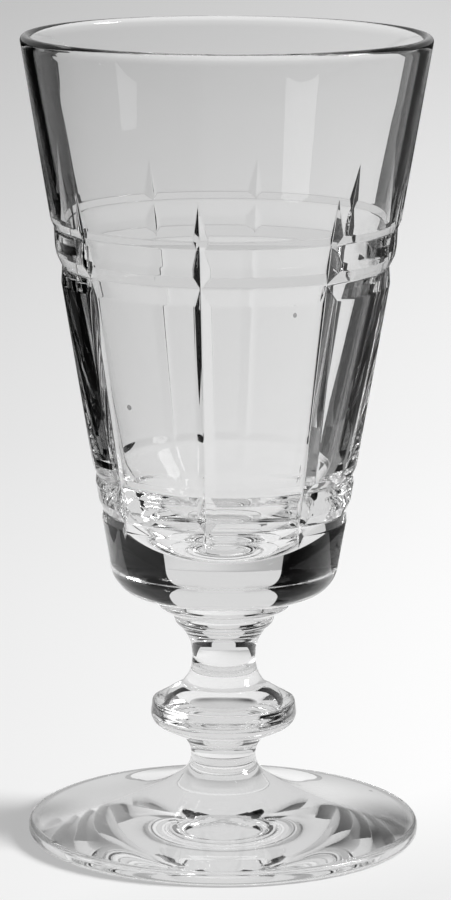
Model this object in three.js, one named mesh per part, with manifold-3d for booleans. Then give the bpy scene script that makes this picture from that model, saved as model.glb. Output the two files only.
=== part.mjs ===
// A footed juice glass of cut crystal, in millimetres, +Z up, standing on Z = 0.
// Seven gathers of glass are stacked on one axis: foot, lower stem, knop, upper stem, stem collar,
// merese and bowl. The bowl is turned, then ground with ring cuts and upright mitre cuts.

import * as THREE from 'three';
import { ConvexGeometry } from 'three/addons/geometries/ConvexGeometry.js';
import { mergeVertices } from 'three/addons/utils/BufferGeometryUtils.js';
import Module from 'manifold-3d';

// Foot
const FOOT_RADIUS = 29.5;
const FOOT_EDGE_HEIGHT = 2.2;
const FOOT_EDGE_ROUNDING = 0.9;
const FOOT_HEIGHT = 9.4;
const FOOT_SHOULDER_RADIUS = 16;
const FOOT_SHOULDER_HEIGHT = 5.15;
const FOOT_FLARE_RADIUS = 9;
const RESTING_RING_WIDTH = 4.5;
const UNDERSIDE_RISE = 0.3;
const PONTIL_RADIUS = 8;
const PONTIL_DEPTH = 0.15;

// Both stems are narrowest at this share of their height, and bend in and out at these shares.
const STEM_WAIST_SHARE = 0.45;
const STEM_LOWER_BEND_SHARE = 0.2;
const STEM_UPPER_BEND_SHARE = 0.8;

// Lower stem
const LOWER_STEM_FOOT_RADIUS = 6.1;
const LOWER_STEM_HEIGHT = 5.8;
const LOWER_STEM_WAIST_RADIUS = 4.9;

// Knop
const KNOP_RADIUS = 11;
const KNOP_LOWER_SEAT_RADIUS = 6.6;
const KNOP_UPPER_SEAT_RADIUS = 6.4;
const KNOP_LOWER_SLOPE = 1.7;
const KNOP_BAND_HEIGHT = 3.7;
const KNOP_UPPER_SLOPE = 2.5;
const KNOP_BAND_BEND = 0.74;
const KNOP_LOWER_EDGE_INSET = 1;
const KNOP_UPPER_EDGE_INSET = 0.25;

// Upper stem
const UPPER_STEM_HEIGHT = 9.2;
const UPPER_STEM_WAIST_RADIUS = 4.78;
const UPPER_STEM_TOP_RADIUS = 6.9;

// Stem collar
const COLLAR_RADIUS = 7.55;
const COLLAR_HEIGHT = 1.75;
const COLLAR_EDGE_ROUNDING = 0.5;

// Merese
const MERESE_RADIUS = 9.8;
const MERESE_HEIGHT = 2.45;
const MERESE_LOWER_SEAT_RADIUS = 7.9;
const MERESE_EDGE_HEIGHT = 1.2;
const MERESE_EDGE_BAND = 0.5;
const MERESE_UPPER_SEAT_RADIUS = 9.4;

// Bowl
const BOWL_HEIGHT = 84.5;
const BOWL_RIM_RADIUS = 30.45;
const BOWL_BASE_RADIUS = 16.3;
const BOWL_BASE_ROUNDING = 5;
const BOWL_UNDERSIDE_RISE = 0.7;
const WALL_AT_RIM = 1.6;
const WALL_AT_FLOOR = 3.6;
const FLOOR_THICKNESS = 7.5;
const FLOOR_ROUNDING_HEIGHT = 12.5;
const FLOOR_BEND_INSET = 5.5;

// Ring cuts: the upper pair is placed down from the rim, the lower pair up from the bowl's base.
// Each is deepest at its root and leaves the cone at the ends of its two flanks.
const FIRST_RING_BELOW_RIM = 28.2;
const FIRST_RING_DEPTH = 0.32;
const FIRST_RING_UPPER_FLANK = 1.2;
const FIRST_RING_LOWER_FLANK = 2.7;
const SECOND_RING_BELOW_RIM = 34;
const SECOND_RING_DEPTH = 0.56;
const SECOND_RING_UPPER_FLANK = 1.8;
const SECOND_RING_LOWER_FLANK = 2.5;
const THIRD_RING_ABOVE_BASE = 19.2;
const THIRD_RING_DEPTH = 0.33;
const THIRD_RING_UPPER_FLANK = 1.2;
const THIRD_RING_LOWER_FLANK = 1.4;
const FOURTH_RING_ABOVE_BASE = 13.7;
const FOURTH_RING_DEPTH = 0.42;
const FOURTH_RING_UPPER_FLANK = 1.5;
const FOURTH_RING_LOWER_FLANK = 1.4;

// Mitre cuts: V grooves up the cone, each running out to a point at both ends.
// Hand cutting leaves those at the back a few degrees from their even places.
const MITRE_COUNT = 8;
const MITRE_TURN = -8.5;
const MITRE_DRIFTS = [0, 0.4, -0.2, -0.6, -2.5, -9, -4.5, 0];
const MITRE_DEPTH = 0.5;
const MITRE_WIDTH = 2.2;
const MITRE_TIP_BELOW_RIM = 21.4;
const MITRE_TIP_ABOVE_BASE = 11;
const MITRE_UPPER_RUN_OUT = 6.5;
const MITRE_LOWER_RUN_OUT = 3;
const MITRE_CUTTER_HEADROOM = 1;

// Facets
const BOWL_SEGMENTS = 64;
const FOOT_SEGMENTS = 48;
const STEM_SEGMENTS = 32;
const ARC_STEPS = 3;

const crystal = new THREE.MeshStandardMaterial({ color: 0xf2f4f4, roughness: 0.03, metalness: 0 });
const glass = new THREE.Group();
const wasm = await Module();
wasm.setup();

// The lower face of each gather, from the table up.
const lowerStemZ = FOOT_HEIGHT;
const knopZ = lowerStemZ + LOWER_STEM_HEIGHT;
const upperStemZ = knopZ + KNOP_LOWER_SLOPE + KNOP_BAND_HEIGHT + KNOP_UPPER_SLOPE;
const collarZ = upperStemZ + UPPER_STEM_HEIGHT;
const mereseZ = collarZ + COLLAR_HEIGHT;
const bowlZ = mereseZ + MERESE_HEIGHT;

// Turns an outline of (radius, height) about the Z axis.
function turned(outline, segments) {
  const geometry = new THREE.LatheGeometry(outline.getPoints(ARC_STEPS), segments);
  geometry.rotateX(Math.PI / 2);
  return closed(geometry);
}

// Joins the vertices that coincide and leaves out triangles that collapse on the axis.
function closed(geometry) {
  geometry.deleteAttribute('normal');
  geometry.deleteAttribute('uv');
  const merged = mergeVertices(geometry);
  const corners = merged.index.array;
  const kept = [];
  for (let i = 0; i < corners.length; i += 3) {
    const [a, b, c] = corners.subarray(i, i + 3);
    if (a !== b && b !== c && a !== c) kept.push(a, b, c);
  }
  merged.setIndex(kept);
  return merged;
}

function solidOf(geometry) {
  const vertProperties = new Float32Array(geometry.attributes.position.array);
  const triVerts = new Uint32Array(geometry.index.array);
  return new wasm.Manifold(new wasm.Mesh({ numProp: 3, vertProperties, triVerts }));
}

function geometryOf(solid) {
  const { vertProperties, triVerts } = solid.getMesh();
  const geometry = new THREE.BufferGeometry();
  geometry.setAttribute('position', new THREE.BufferAttribute(vertProperties, 3));
  geometry.setIndex(new THREE.BufferAttribute(triVerts, 1));
  return geometry;
}

function add(name, geometry, z) {
  geometry.computeVertexNormals();
  const mesh = new THREE.Mesh(geometry, crystal);
  mesh.name = name;
  mesh.position.z = z;
  glass.add(mesh);
}

// A shallow sloping foot with a rounded edge, a flat ring to stand on and a polished pontil underneath.
function foot() {
  const ringOuter = FOOT_RADIUS - FOOT_EDGE_ROUNDING;
  const ringInner = ringOuter - RESTING_RING_WIDTH;
  const edgeTop = FOOT_EDGE_HEIGHT - FOOT_EDGE_ROUNDING;
  const slope = (FOOT_SHOULDER_HEIGHT - FOOT_EDGE_HEIGHT) / (ringOuter - FOOT_SHOULDER_RADIUS);
  const flareHeight = FOOT_SHOULDER_HEIGHT + slope * (FOOT_SHOULDER_RADIUS - FOOT_FLARE_RADIUS);
  const outline = new THREE.Path()
    .moveTo(0, UNDERSIDE_RISE + PONTIL_DEPTH)
    .quadraticCurveTo(PONTIL_RADIUS / 2, UNDERSIDE_RISE + PONTIL_DEPTH, PONTIL_RADIUS, UNDERSIDE_RISE)
    .quadraticCurveTo((PONTIL_RADIUS + ringInner) / 2, UNDERSIDE_RISE, ringInner, 0)
    .lineTo(ringOuter, 0)
    .quadraticCurveTo(FOOT_RADIUS, 0, FOOT_RADIUS, FOOT_EDGE_ROUNDING)
    .lineTo(FOOT_RADIUS, edgeTop)
    .quadraticCurveTo(FOOT_RADIUS, FOOT_EDGE_HEIGHT, ringOuter, FOOT_EDGE_HEIGHT)
    .lineTo(FOOT_SHOULDER_RADIUS, FOOT_SHOULDER_HEIGHT)
    .quadraticCurveTo(FOOT_FLARE_RADIUS, flareHeight, LOWER_STEM_FOOT_RADIUS, FOOT_HEIGHT)
    .lineTo(0, FOOT_HEIGHT);
  return turned(outline, FOOT_SEGMENTS);
}

// A waisted length of stem between two flat seats.
function waisted(lowerRadius, waistRadius, upperRadius, height) {
  const lowerBend = height * STEM_LOWER_BEND_SHARE;
  const waistHeight = height * STEM_WAIST_SHARE;
  const upperBend = height * STEM_UPPER_BEND_SHARE;
  const outline = new THREE.Path()
    .moveTo(0, 0)
    .lineTo(lowerRadius, 0)
    .quadraticCurveTo(waistRadius, lowerBend, waistRadius, waistHeight)
    .quadraticCurveTo(waistRadius, upperBend, upperRadius, height)
    .lineTo(0, height);
  return turned(outline, STEM_SEGMENTS);
}

// A thick disc with a crisp upper edge, a softer lower edge and sloping faces.
function knop() {
  const lowerEdge = KNOP_RADIUS - KNOP_LOWER_EDGE_INSET;
  const upperEdge = KNOP_RADIUS - KNOP_UPPER_EDGE_INSET;
  const bandTop = KNOP_LOWER_SLOPE + KNOP_BAND_HEIGHT;
  const bandMiddle = KNOP_LOWER_SLOPE + KNOP_BAND_HEIGHT / 2;
  const height = bandTop + KNOP_UPPER_SLOPE;
  const outline = new THREE.Path()
    .moveTo(0, 0)
    .lineTo(KNOP_LOWER_SEAT_RADIUS, 0)
    .lineTo(lowerEdge, KNOP_LOWER_SLOPE)
    .quadraticCurveTo(KNOP_RADIUS, KNOP_LOWER_SLOPE + KNOP_BAND_BEND, KNOP_RADIUS, bandMiddle)
    .lineTo(upperEdge, bandTop)
    .lineTo(KNOP_UPPER_SEAT_RADIUS, height)
    .lineTo(0, height);
  return turned(outline, STEM_SEGMENTS);
}

// The lower, smaller step under the bowl.
function stemCollar() {
  const topRadius = COLLAR_RADIUS - COLLAR_EDGE_ROUNDING;
  const shoulder = COLLAR_HEIGHT - COLLAR_EDGE_ROUNDING;
  const outline = new THREE.Path()
    .moveTo(0, 0)
    .lineTo(UPPER_STEM_TOP_RADIUS, 0)
    .quadraticCurveTo(COLLAR_RADIUS, COLLAR_EDGE_ROUNDING, COLLAR_RADIUS, shoulder)
    .quadraticCurveTo(COLLAR_RADIUS, COLLAR_HEIGHT, topRadius, COLLAR_HEIGHT)
    .lineTo(0, COLLAR_HEIGHT);
  return turned(outline, STEM_SEGMENTS);
}

// The sharp-edged wafer that carries the bowl.
function merese() {
  const outline = new THREE.Path()
    .moveTo(0, 0)
    .lineTo(MERESE_LOWER_SEAT_RADIUS, 0)
    .lineTo(MERESE_RADIUS, MERESE_EDGE_HEIGHT)
    .lineTo(MERESE_RADIUS, MERESE_EDGE_HEIGHT + MERESE_EDGE_BAND)
    .lineTo(MERESE_UPPER_SEAT_RADIUS, MERESE_HEIGHT)
    .lineTo(0, MERESE_HEIGHT);
  return turned(outline, STEM_SEGMENTS);
}

const taper = Math.atan((BOWL_RIM_RADIUS - BOWL_BASE_RADIUS) / BOWL_HEIGHT);

// Radius of the plain cone at a height above the bowl's base.
function coneRadius(height) {
  return BOWL_BASE_RADIUS + height * Math.tan(taper);
}

// Draws one ring cut into an outline that climbs the cone.
function ringCut(outline, root, depth, lowerFlank, upperFlank) {
  outline.lineTo(coneRadius(root - lowerFlank), root - lowerFlank);
  outline.lineTo(coneRadius(root) - depth, root);
  outline.lineTo(coneRadius(root + upperFlank), root + upperFlank);
}

// The turned bowl: rounded base, cone with its ring cuts, round rim, and the hollow with its rounded floor.
function turnedBowl() {
  const baseCentreZ = BOWL_UNDERSIDE_RISE + BOWL_BASE_ROUNDING;
  const baseCentreRadius = coneRadius(baseCentreZ) - BOWL_BASE_ROUNDING / Math.cos(taper);
  const rimRounding = WALL_AT_RIM / 2;
  const rimCentreZ = BOWL_HEIGHT - rimRounding;
  const rimCentreRadius = coneRadius(rimCentreZ) - rimRounding / Math.cos(taper);
  const floorEdgeZ = FLOOR_THICKNESS + FLOOR_ROUNDING_HEIGHT;
  const floorEdgeRadius = coneRadius(floorEdgeZ) - WALL_AT_FLOOR;
  const wallMiddleZ = (floorEdgeZ + BOWL_HEIGHT) / 2;
  const firstRingZ = BOWL_HEIGHT - FIRST_RING_BELOW_RIM;
  const secondRingZ = BOWL_HEIGHT - SECOND_RING_BELOW_RIM;
  const thirdRingZ = THIRD_RING_ABOVE_BASE;
  const fourthRingZ = FOURTH_RING_ABOVE_BASE;
  const outline = new THREE.Path()
    .moveTo(0, 0)
    .lineTo(MERESE_UPPER_SEAT_RADIUS, 0)
    .lineTo(baseCentreRadius, BOWL_UNDERSIDE_RISE)
    .absarc(baseCentreRadius, baseCentreZ, BOWL_BASE_ROUNDING, -Math.PI / 2, -taper);
  ringCut(outline, fourthRingZ, FOURTH_RING_DEPTH, FOURTH_RING_LOWER_FLANK, FOURTH_RING_UPPER_FLANK);
  ringCut(outline, thirdRingZ, THIRD_RING_DEPTH, THIRD_RING_LOWER_FLANK, THIRD_RING_UPPER_FLANK);
  ringCut(outline, secondRingZ, SECOND_RING_DEPTH, SECOND_RING_LOWER_FLANK, SECOND_RING_UPPER_FLANK);
  ringCut(outline, firstRingZ, FIRST_RING_DEPTH, FIRST_RING_LOWER_FLANK, FIRST_RING_UPPER_FLANK);
  outline
    .absarc(rimCentreRadius, rimCentreZ, rimRounding, -taper, Math.PI - taper)
    .quadraticCurveTo(coneRadius(wallMiddleZ) - WALL_AT_RIM, wallMiddleZ, floorEdgeRadius, floorEdgeZ)
    .quadraticCurveTo(floorEdgeRadius - FLOOR_BEND_INSET, FLOOR_THICKNESS, 0, FLOOR_THICKNESS);
  return turned(outline, BOWL_SEGMENTS);
}

// The wedge that grinds one mitre cut.
// Its edge lies under the cone at full depth and rises to it at both ends.
function mitreCutter() {
  const slope = MITRE_WIDTH / 2 / MITRE_DEPTH;
  const lowest = MITRE_TIP_ABOVE_BASE / Math.cos(taper);
  const highest = (BOWL_HEIGHT - MITRE_TIP_BELOW_RIM) / Math.cos(taper);
  const stations = [
    [lowest, 0],
    [lowest + MITRE_LOWER_RUN_OUT, MITRE_DEPTH],
    [highest - MITRE_UPPER_RUN_OUT, MITRE_DEPTH],
    [highest, 0],
  ];
  const points = stations.flatMap(([along, depth]) => {
    const halfWidth = (depth + MITRE_CUTTER_HEADROOM) * slope;
    return [
      new THREE.Vector3(0, -depth, along),
      new THREE.Vector3(halfWidth, MITRE_CUTTER_HEADROOM, along),
      new THREE.Vector3(-halfWidth, MITRE_CUTTER_HEADROOM, along),
    ];
  });
  return new ConvexGeometry(points);
}

// Moves a cutter to its place on the bowl from the wall's own directions: across, out of the wall and up it.
function placedOnCone(cutter, turn) {
  const facing = new THREE.Vector3(Math.sin(turn), -Math.cos(turn), 0);
  const up = new THREE.Vector3(0, 0, 1);
  const outOfWall = facing.clone().multiplyScalar(Math.cos(taper)).addScaledVector(up, -Math.sin(taper));
  const upTheWall = facing.clone().multiplyScalar(Math.sin(taper)).addScaledVector(up, Math.cos(taper));
  const across = new THREE.Vector3().crossVectors(outOfWall, upTheWall);
  const place = new THREE.Matrix4().makeBasis(across, outOfWall, upTheWall);
  place.setPosition(facing.multiplyScalar(BOWL_BASE_RADIUS));
  return cutter.applyMatrix4(place);
}

function bowl() {
  let solid = solidOf(turnedBowl());
  for (let i = 0; i < MITRE_COUNT; i += 1) {
    const drift = MITRE_DRIFTS[i % MITRE_DRIFTS.length];
    const turn = THREE.MathUtils.degToRad(MITRE_TURN + (360 / MITRE_COUNT) * i + drift);
    solid = solid.subtract(solidOf(closed(placedOnCone(mitreCutter(), turn))));
  }
  return geometryOf(solid);
}

add('foot', foot(), 0);
add(
  'lower_stem',
  waisted(LOWER_STEM_FOOT_RADIUS, LOWER_STEM_WAIST_RADIUS, KNOP_LOWER_SEAT_RADIUS, LOWER_STEM_HEIGHT),
  lowerStemZ,
);
add('knop', knop(), knopZ);
add(
  'upper_stem',
  waisted(KNOP_UPPER_SEAT_RADIUS, UPPER_STEM_WAIST_RADIUS, UPPER_STEM_TOP_RADIUS, UPPER_STEM_HEIGHT),
  upperStemZ,
);
add('stem_collar', stemCollar(), collarZ);
add('merese', merese(), mereseZ);
add('bowl', bowl(), bowlZ);

export default glass;
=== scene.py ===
"""Footed juice glass of cut crystal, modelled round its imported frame, on a pale studio floor."""

import math

import bmesh
import bpy
from mathutils import Matrix, Vector


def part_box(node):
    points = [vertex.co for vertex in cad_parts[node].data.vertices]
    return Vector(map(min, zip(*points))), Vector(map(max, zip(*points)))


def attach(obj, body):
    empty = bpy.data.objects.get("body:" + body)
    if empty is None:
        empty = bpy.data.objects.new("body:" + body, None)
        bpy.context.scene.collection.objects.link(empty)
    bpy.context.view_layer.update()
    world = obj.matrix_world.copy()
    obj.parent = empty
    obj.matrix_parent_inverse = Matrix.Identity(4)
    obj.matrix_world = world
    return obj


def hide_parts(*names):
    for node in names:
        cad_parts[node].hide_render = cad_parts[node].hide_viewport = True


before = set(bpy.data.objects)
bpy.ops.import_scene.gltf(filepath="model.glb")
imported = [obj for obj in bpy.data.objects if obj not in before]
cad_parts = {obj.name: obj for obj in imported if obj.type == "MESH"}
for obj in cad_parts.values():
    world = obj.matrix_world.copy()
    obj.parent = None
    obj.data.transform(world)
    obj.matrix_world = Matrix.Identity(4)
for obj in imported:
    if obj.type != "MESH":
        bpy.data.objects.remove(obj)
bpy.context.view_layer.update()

bl_info = {
    "name": "Cut Crystal Juice Glass",
    "version": (1, 0, 0),
    "blender": (4, 5, 0),
    "location": "3D View > Sidebar > Juice Glass",
    "description": "Models a footed juice glass of cut crystal and the stage that it stands on",
    "category": "Object",
}

MM = 0.001
BODY = "root"

# Mesh fineness
TURNED_STEPS = 192
CURVE_STEPS = 14
CORNER_STEPS = 6
CORNER_SUPPORT = 0.1 * MM
HOLLOW_WALL_STEPS = 24
HOLLOW_FLOOR_STEPS = 28
SHADOW_STEPS = 48
WALL_ROW = 0.45 * MM
CREASE_ANGLE = math.radians(28)
MERGE_DISTANCE = 1e-7

# Shares of a straight stretch that a rounded corner, and the points that hold it, may take up
ROUNDED_SHARE = 0.4
HELD_SHARE = 0.48

# Where a stem's waist lies and its curves bend, and where the knop's side bends, in shares of their heights
STEM_WAIST = 0.45
STEM_LOWER_BEND = 0.2
STEM_UPPER_BEND = 0.8
KNOP_BEND = 0.2

# The columns of one eighth of the bowl, counted from the middle of its mitre cut.
# Those of the cut are in shares of its half width, and the rest divide what is left evenly.
CUT_COLUMNS = (0, 0.1, 0.3, 0.6, 0.88, 1, 1.12)
COLUMNS_PER_SIDE = 14
COLUMNS_PER_CUT = 2 * COLUMNS_PER_SIDE

# Hand cutting leaves each mitre cut off its even place, with a share of the full depth.
# Both are counted round from the front cut.
MITRE_DRIFTS = tuple(math.radians(degrees) for degrees in (0, 0.4, -0.2, -0.6, -2.5, -9, -4.5, 0))
MITRE_WEIGHTS = (1, 0.9, 0.9, 0.8, 0.4, 0.5, 0.9, 0.9)

# Ring cuts from the lowest up: height over the bowl's base, depth, lower flank, upper flank, in millimetres
RING_CUTS = (
    (13.7, 0.42, 1.4, 1.5),
    (19.2, 0.33, 1.4, 1.2),
    (50.5, 0.56, 2.5, 1.8),
    (56.3, 0.32, 2.7, 1.2),
)

# The crystal's patterns: upright waves, water marks, and specks in the few cells over a random level
WAVE_SCALES = (90, 90, 14)
WAVE_DETAIL = 1.5
MARK_SCALE = 220
MARK_DETAIL = 6
MARK_LEVELS = ((0.56, 0), (0.78, 1))
SPECK_CELLS = 85
SPECK_SIZE = 0.035
SPECK_LEVEL = 0.86

# The floor's levels across, along and aslant, each over a range in metres. The levels across are painted
# light: the floor is painted lighter towards the lamp at the right and darker to the left.
FLOOR_ACROSS = (-0.22, 0.22)
FLOOR_ACROSS_PAINTED_LIGHT = ((0, 0.8), (1, 1.08), (0.5, 1), (0.66, 1.06))
FLOOR_ALONG = (-0.2, 1.4)
FLOOR_ALONG_LEVELS = ((0, 0.95), (1, 1), (0.131, 0.985), (0.219, 0.975), (0.316, 0.945), (0.563, 0.95))
FLOOR_ASLANT = (0.01, 0.06)
FLOOR_ASLANT_LEVELS = ((0, 1), (1, 0.87))

# How far the floor lies under the foot, so that the two don't coincide
FLOOR_GAP = 0.02 * MM

# Where across the floor its paint starts to even out the lamp's light, and does so fully, in metres.
# That light falls off with the square of the distance and with its slant, so about with the cube.
FLOOR_EVENED = (0.035, 0.15)
LAMP_FALL_OFF = 3

# Between which rises, as sines, the low sky turns into the high one
SKY_CLIMB = (0.45, 0.8)

# The camera's film side in millimetres, its nearest sight, and how often light may turn in the crystal
FILM_SIDE = 36
CAMERA_NEAREST = 10 * MM
CLEAR_BOUNCES = 32
GLOSSY_BOUNCES = 16

# Cards round the glass show only in the crystal, by how a ray reaches them: through solid glass, which has
# two faces, across the hollow or mirrored, only mirrored, or only mirrored by the outside
SOLID = "solid"
HOLLOW = "hollow"
MIRRORED = "mirrored"
OUTSIDE = "outside"

# A ray's depths are whole numbers, and these limits lie between them
ANY_DEPTH = 0.5
SOLID_FACES = 2.5


def upright(top, *line):
    """Corners of a card that stands on a line of places and reaches up to a height."""
    return (*line, *((x, y, top) for x, y in reversed(line)))


# The cards: name, how each shows, level, height over the floor and corners, in millimetres.
# A corner of two numbers lies at the card's height, and one of three gives its own.
BLACK = 0.002
ON_FLOOR = 0.5
OVER_CARDS = 0.8
CARDS = (
    ("left_base", SOLID, BLACK, 36, upright(80, (-56, 21), (-30, 52), (-13.1, 58.6))),
    ("right_base", SOLID, 0.02, 36, upright(80, (53, 28), (31.8, 51), (13.5, 58.5))),
    (
        "left_floor",
        HOLLOW,
        BLACK,
        ON_FLOOR,
        ((-95, 215), (-93, 230), (-88, 270), (-88, 352), (-150, 352), (-155, 290), (-188, 235), (-190, 215)),
    ),
    (
        "left_edge_floor",
        MIRRORED,
        BLACK,
        ON_FLOOR,
        ((-99, 112), (-98, 185), (-95, 215), (-190, 215), (-192, 199)),
    ),
    ("left_near_floor", MIRRORED, BLACK, ON_FLOOR, ((-103, 91), (-195, 172), (-200, 106), (-118, 63))),
    ("left_gap_floor", MIRRORED, BLACK, ON_FLOOR, ((-99, 112), (-176, 199), (-195, 172), (-103, 91))),
    (
        "left_far_floor",
        HOLLOW,
        BLACK,
        ON_FLOOR,
        ((-88, 352), (-118, 550), (-150, 750), (-166, 940), (-900, 940), (-300, 240), (-215, 255)),
    ),
    (
        "left_side_floor",
        MIRRORED,
        BLACK,
        ON_FLOOR,
        ((-200, 106), (-195, 172), (-300, 240), (-900, 940), (-1400, 640), (-560, 258)),
    ),
    (
        "left_front_floor",
        MIRRORED,
        BLACK,
        ON_FLOOR,
        ((-109, 51), (-1360, 630), (-1450, -390), (-390, -1450), (-31, -116)),
    ),
    (
        "right_floor",
        HOLLOW,
        0.1,
        ON_FLOOR,
        ((36, 84), (66, 118), (66, 200), (80, 262), (98, 350), (130, 352), (130, 40)),
    ),
    (
        "right_outer_floor",
        HOLLOW,
        0.05,
        ON_FLOOR,
        ((130, 352), (150, 352), (163, 275), (186, 205), (205, 140), (205, 60), (130, 40)),
    ),
    (
        "right_far_floor",
        HOLLOW,
        0.03,
        ON_FLOOR,
        ((98, 350), (120, 520), (145, 650), (192, 870), (205, 930), (900, 930), (300, 240), (200, 255)),
    ),
    # knop_dark is a painted shadow on the floor in front of the foot at the right, and knop_light is painted
    # light on the floor in front of it at the left; only solid glass shows them
    (
        "knop_dark",
        SOLID,
        0.01,
        ON_FLOOR,
        ((12, -28.5), (10, -48), (56, -48), (56, -8), (31, -3), (26.5, -17)),
    ),
    (
        "knop_light",
        SOLID,
        1.5,
        ON_FLOOR,
        ((-17, -26), (-26.5, -17), (-31, -5), (-50, -12), (-50, -44), (-14, -44)),
    ),
    ("right_window", OUTSIDE, 5.5, OVER_CARDS, ((156, -243), (240, -187), (190, -149), (130, -191))),
    ("left_window", OUTSIDE, 3.8, OVER_CARDS, ((-290, -145), (-232, -188), (-222, -166), (-254, -128))),
    ("left_stem", SOLID, 0.03, 15, ((-35, 19.5), (-28.3, 25.6), (-16, 37, 39), (-35, 19.5, 39))),
    ("right_stem", SOLID, 0.08, 15, ((35, 19.5), (28.3, 25.6), (16, 37, 39), (35, 19.5, 39))),
    ("left_low", SOLID, 0.05, 5, upright(34, (-60, -20), (-60, 48))),
    ("right_low", SOLID, 0.26, 5, upright(38, (60, 4), (60, 55))),
    # right_light is a painted highlight: a bright card that only solid glass shows, for the white glint at
    # the foot's left edge
    ("right_light", SOLID, 1, 5, upright(38, (60, -16), (60, 3))),
)

# Where the foot gathers or keeps off the light under it: place in millimetres, reach, and change of level
GATHERED_SPOTS = (
    ((14, 10), 14, 0.3),
    ((26, -3), 14, -0.7),
    ((-28, 2), 10, -0.38),
    ((-27, -8), 5, 0.4),
    ((-6.5, 24.5), 9, -0.74),
    ((4, 25), 8, -0.5),
    ((-15, 18), 12, 0.15),
)

# How far inside the foot's edge the gathered light starts to fade, and where it ends
GATHERED_FADE = 2 * MM
GATHERED_END = 1 * MM

# How far over the floor the shadow's stand-in starts
SHADOW_LIFT = 0.3 * MM

# Round which place behind the glass its outside mirrors the floor whole, how far, and from where on dimly
REFLECTED_PLACE = (0, 0.12, 0)
REFLECTED_WHOLE = 130 * MM
REFLECTED_DIM = 190 * MM

# Heights at which each gather of glass starts and ends
FOOT_LOW, FOOT_HIGH = (corner.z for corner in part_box("foot"))
LOWER_STEM_LOW, LOWER_STEM_HIGH = (corner.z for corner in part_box("lower_stem"))
KNOP_LOW, KNOP_HIGH = (corner.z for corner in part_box("knop"))
UPPER_STEM_LOW, UPPER_STEM_HIGH = (corner.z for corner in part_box("upper_stem"))
COLLAR_LOW, COLLAR_HIGH = (corner.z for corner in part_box("stem_collar"))
MERESE_LOW, MERESE_HIGH = (corner.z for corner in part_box("merese"))
BOWL_LOW, BOWL_HIGH = (corner.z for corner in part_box("bowl"))


def length(name, description, millimetres):
    """A length that the sidebar shows, given in millimetres."""
    return bpy.props.FloatProperty(
        name=name,
        description=description,
        default=millimetres * MM,
        unit="LENGTH",
        subtype="DISTANCE",
        precision=5,
    )


def angle(name, description, degrees):
    """An angle that the sidebar shows, given in degrees."""
    return bpy.props.FloatProperty(
        name=name, description=description, default=math.radians(degrees), unit="ROTATION", subtype="ANGLE"
    )


def amount(name, description, value):
    """A plain number that the sidebar shows."""
    return bpy.props.FloatProperty(name=name, description=description, default=value, precision=4)


def tone(name, description, value):
    """A neutral colour, because the crystal and its studio have no hue."""
    return bpy.props.FloatVectorProperty(
        name=name, description=description, default=(value, value, value), subtype="COLOR", min=0, max=1
    )


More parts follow.
